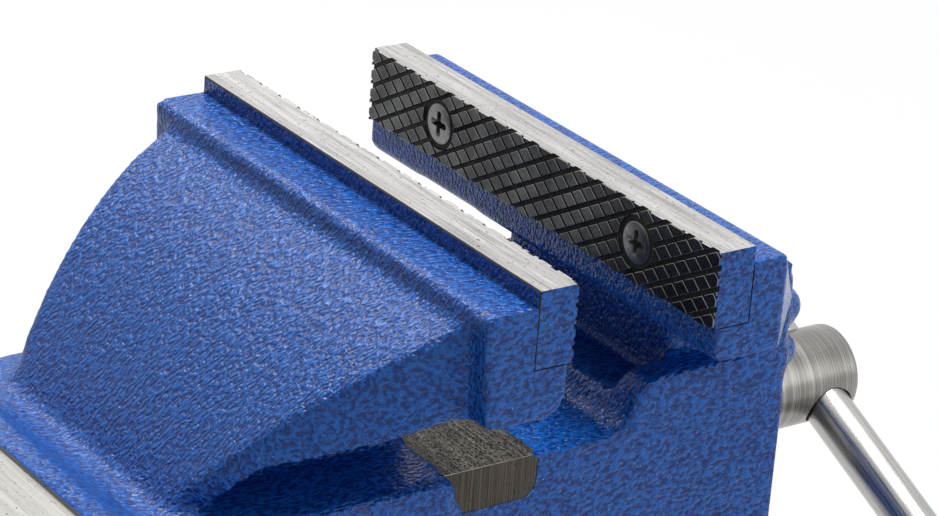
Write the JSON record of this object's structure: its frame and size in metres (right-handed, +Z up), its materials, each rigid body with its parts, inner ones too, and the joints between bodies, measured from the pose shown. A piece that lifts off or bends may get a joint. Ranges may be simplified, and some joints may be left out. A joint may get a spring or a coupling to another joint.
{
  "type": "swivel bench vise",
  "caption": "Swivel bench vise with toothed steel jaws, a hooded fixed jaw with an anvil, a screw-driven sliding jaw with a sliding handle bar, and a lockable round base.",
  "frame": {"origin": "on the bench top, on the vertical axis that the vise swivels about, in the middle of the four bench bolts", "axes": "+X along the screw from the fixed jaw towards the handle, +Z up from the bench, +Y to the left when looking along +X"},
  "size_m": [0.3199, 0.2702, 0.2],
  "materials": {
    "blue_paint": "glossy hammered enamel on cast iron, with machined grey faces",
    "black_steel": "blackened toothed face, ground bright top",
    "screw_steel": "plain steel",
    "bright_steel": "turned and polished",
    "zinc": "zinc plated",
    "nut_iron": "as cast",
    "black_bolt": "black oxide"
  },
  "bodies": {
    "base": {"swivel_base": "blue_paint", "centre_bolt": "zinc", "centre_washer": "zinc", "centre_nut": "zinc"},
    "vise_body": {"fixed_body": "blue_paint", "swivel_foot": "blue_paint", "swivel_post": "blue_paint", "fixed_jaw_plate": "black_steel", "fixed_plate_screws": "screw_steel", "lead_nut": "nut_iron", "lead_nut_bolt": "black_bolt", "lock_studs": "zinc", "lock_washers": "zinc"},
    "jaw": {"sliding_jaw": "blue_paint", "moving_jaw_plate": "black_steel", "moving_plate_screws": "screw_steel"},
    "screw": {"spindle": "bright_steel", "thrust_washer": "zinc", "keeper_washer": "zinc", "keeper_collar": "black_bolt", "keeper_pin": "zinc"},
    "handle": {"handle_bar": "bright_steel", "handle_knob_near": "bright_steel", "handle_knob_far": "bright_steel"},
    "left_lock": {"lock_nut_left": "bright_steel"},
    "right_lock": {"lock_nut_right": "bright_steel"},
    "left_lock_bar": {"lock_bar_left": "bright_steel", "lock_knobs_left": "bright_steel"},
    "right_lock_bar": {"lock_bar_right": "bright_steel", "lock_knobs_right": "bright_steel"}
  },
  "joints": [
    {"name": "swivel", "type": "hinge", "parent": "base", "child": "vise_body", "pos_m": [0, 0, 0.0343], "axis": [0, 0, 1], "range_deg": [-60, 60]},
    {"name": "jaw_slide", "type": "slide", "parent": "vise_body", "child": "jaw", "axis": [1, 0, 0], "range_m": [-0.0403, 0.0744]},
    {"name": "spindle_spin", "type": "hinge", "parent": "jaw", "child": "screw", "pos_m": [0.2, 0, 0.1165], "axis": [1, 0, 0], "range_deg": [-2900, 5350]},
    {"name": "bar_slide", "type": "slide", "parent": "screw", "child": "handle", "axis": [0, 0.91, 0.4147], "range_m": [-0.0045, 0.169]},
    {"name": "left_lock_turn", "type": "hinge", "parent": "vise_body", "child": "left_lock", "pos_m": [0, 0.07, 0.06], "axis": [0, 0, 1], "range_deg": [-50, 50]},
    {"name": "right_lock_turn", "type": "hinge", "parent": "vise_body", "child": "right_lock", "pos_m": [0, -0.07, 0.06], "axis": [0, 0, 1], "range_deg": [-50, 50]},
    {"name": "left_bar_slide", "type": "slide", "parent": "left_lock", "child": "left_lock_bar", "axis": [1, 0, 0], "range_m": [-0.008, 0.008]},
    {"name": "right_bar_slide", "type": "slide", "parent": "right_lock", "child": "right_lock_bar", "axis": [1, 0, 0], "range_m": [-0.008, 0.008]}
  ],
  "couplings": [
    {"joint": "jaw_slide", "follows": "spindle_spin", "m_per_rad": 0.00079577}
  ]
}
